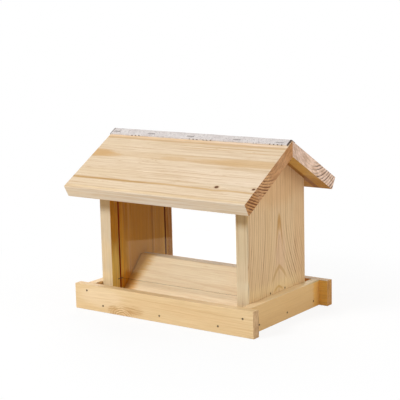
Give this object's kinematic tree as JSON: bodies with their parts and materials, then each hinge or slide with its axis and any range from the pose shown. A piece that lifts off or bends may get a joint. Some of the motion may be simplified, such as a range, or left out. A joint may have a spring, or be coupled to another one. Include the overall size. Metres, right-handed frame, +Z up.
{
  "type": "bird table",
  "caption": "Small wooden bird table with a tray, two grooved gables, clear seed panes, a sloping seed spreader and a pitched roof whose front board lifts on a felt ridge hinge.",
  "frame": {"origin": "centre of the tray's underside, on the surface that the table stands on, under the middle of the ridge", "axes": "+Z up; +X along the ridge to the right-hand gable; -Y towards the front, where the roof board lifts"},
  "size_m": [0.29, 0.2175, 0.2366],
  "materials": {
    "pine": "planed, untreated, fine grain",
    "acrylic": "clear, polished",
    "roofing_felt": "pale mineral grit on black bitumen",
    "brad_steel": "dull, dark",
    "staple_steel": "galvanised wire"
  },
  "bodies": {
    "house": {"floor_board": "pine", "tray_front_board": "pine", "tray_rear_board": "pine", "tray_left_board": "pine", "tray_right_board": "pine", "left_gable": "pine", "right_gable": "pine", "front_spreader_board": "pine", "rear_spreader_board": "pine", "rear_roof_board": "pine", "tray_front_brads": "brad_steel", "tray_rear_brads": "brad_steel", "tray_left_brads": "brad_steel", "tray_right_brads": "brad_steel", "left_gable_screws": "brad_steel", "right_gable_screws": "brad_steel", "left_spreader_brads": "brad_steel", "right_spreader_brads": "brad_steel", "left_roof_brads": "brad_steel", "right_roof_brads": "brad_steel", "left_pane_staples": "staple_steel", "right_pane_staples": "staple_steel", "ridge_strip": "roofing_felt", "rear_ridge_staples": "staple_steel"},
    "roof_flap": {"front_roof_board": "pine", "front_ridge_staples": "staple_steel"},
    "front_pane": {"front_pane": "acrylic"},
    "rear_pane": {"rear_pane": "acrylic"}
  },
  "joints": [
    {"name": "roof_flap_hinge", "type": "hinge", "parent": "house", "child": "roof_flap", "pos_m": [0, 0, 0.235], "axis": [-1, 0, 0], "range_deg": [0, 200], "deforming": ["ridge_strip"]},
    {"name": "front_pane_slide", "type": "slide", "parent": "house", "child": "front_pane", "axis": [0, 0, 1], "range_m": [0, 0.0022]},
    {"name": "rear_pane_slide", "type": "slide", "parent": "house", "child": "rear_pane", "axis": [0, 0, 1], "range_m": [0, 0.0022]}
  ]
}
